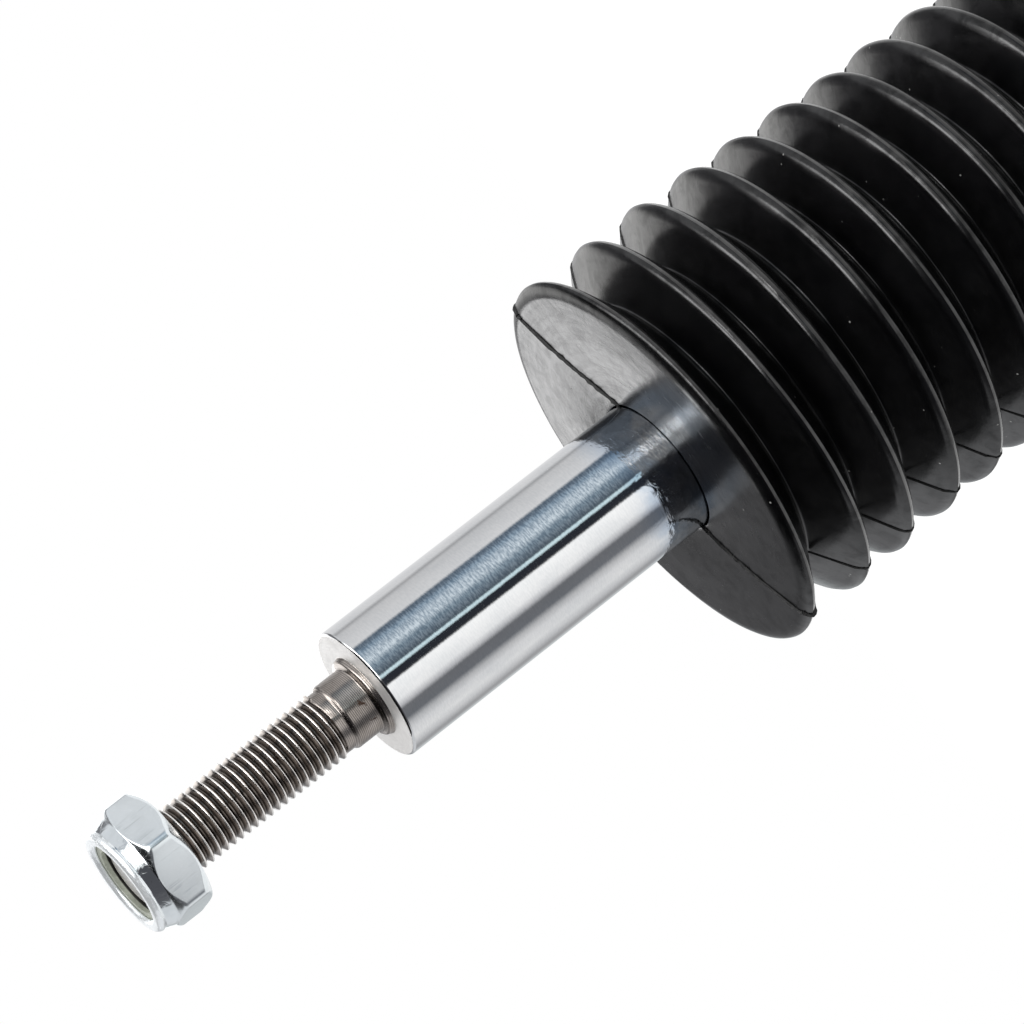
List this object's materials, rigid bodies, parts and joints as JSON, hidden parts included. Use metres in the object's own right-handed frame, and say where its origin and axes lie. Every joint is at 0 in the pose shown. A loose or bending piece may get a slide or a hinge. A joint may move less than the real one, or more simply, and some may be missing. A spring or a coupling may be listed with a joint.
{
  "type": "coilover strut damper",
  "caption": "Telescopic suspension strut: chrome rod with a nut on its stud, ribbed rubber boot, threaded body with a screw-adjusted spring seat and a two-eared knuckle bracket.",
  "frame": {"origin": "on the strut's axis, in the plane of the rod's end face where a top mount seats", "axes": "+Z along the rod, out of the stud; +X towards the open side of the knuckle bracket; +Y along the bracket's bolt holes"},
  "size_m": [0.1291, 0.086, 0.4347],
  "materials": {
    "chrome_rod": "polished hard chrome, bare turned steel on the stud",
    "zinc_nut": "bright zinc plating",
    "nylon": "natural nylon",
    "boot_rubber": "moulded semi-gloss black rubber",
    "band_steel": "stainless band",
    "foam": "cellular polyurethane",
    "seal_rubber": "nitrile rubber",
    "guide_metal": "sintered metal",
    "bush_bronze": "bronze with a slippery lining",
    "tube_zinc": "zinc-plated steel",
    "inner_steel": "honed steel tube",
    "valve_steel": "ground steel",
    "band_ptfe": "filled fluoropolymer",
    "bracket_paint": "satin black paint",
    "ring_anodised": "black anodised"
  },
  "bodies": {
    "strut_body": {"body_tube": "tube_zinc", "inner_cylinder": "inner_steel", "ring_nut": "valve_steel", "rod_wiper": "seal_rubber", "rod_seal": "seal_rubber", "rod_guide": "guide_metal", "guide_bush": "bush_bronze", "guide_o_ring": "seal_rubber", "base_valve": "guide_metal", "base_valve_shims": "valve_steel", "base_valve_bolt": "valve_steel", "base_cup": "bracket_paint", "knuckle_bracket": "bracket_paint", "hose_bracket": "bracket_paint", "dust_boot": "boot_rubber", "boot_clamp": "band_steel"},
    "band": {"piston_band": "band_ptfe"},
    "rod": {"piston_rod": "chrome_rod", "bump_stop": "foam", "rebound_buffer": "foam", "rebound_stop": "valve_steel", "rebound_shims": "valve_steel", "piston": "guide_metal", "compression_shims": "valve_steel", "valve_washers": "valve_steel", "piston_nut": "valve_steel"},
    "insert": {"lock_nut_insert": "nylon"},
    "nut": {"lock_nut": "zinc_nut"},
    "seat": {"spring_seat": "ring_anodised"},
    "adjuster": {"adjuster_collar": "ring_anodised", "lock_ring": "ring_anodised"}
  },
  "joints": [
    {"name": "rod_slide", "type": "slide", "parent": "strut_body", "child": "band", "axis": [0, 0, 1], "range_m": [-0.085, 0], "stiffness_N_per_m": 400, "springref_m": 0.3, "deforming": ["dust_boot"]},
    {"name": "rod_spin", "type": "hinge", "parent": "band", "child": "rod", "pos_m": [0, 0, -0.1836], "axis": [0, 0, 1], "continuous": true},
    {"name": "nut_travel", "type": "slide", "parent": "rod", "child": "insert", "axis": [0, 0, 1], "range_m": [-0.0225, 0.0025]},
    {"name": "nut_turn", "type": "hinge", "parent": "insert", "child": "nut", "pos_m": [0, 0, 0.037], "axis": [0, 0, 1], "range_deg": [-6481, 721]},
    {"name": "seat_travel", "type": "slide", "parent": "strut_body", "child": "seat", "axis": [0, 0, 1], "range_m": [-0.02, 0.02]},
    {"name": "collar_turn", "type": "hinge", "parent": "seat", "child": "adjuster", "pos_m": [0, 0, -0.2296], "axis": [0, 0, 1], "range_deg": [-3601, 3601]}
  ],
  "couplings": [
    {"joint": "nut_turn", "follows": "nut_travel", "rad_per_m": 5026.5},
    {"joint": "collar_turn", "follows": "seat_travel", "rad_per_m": 3141.6}
  ]
}
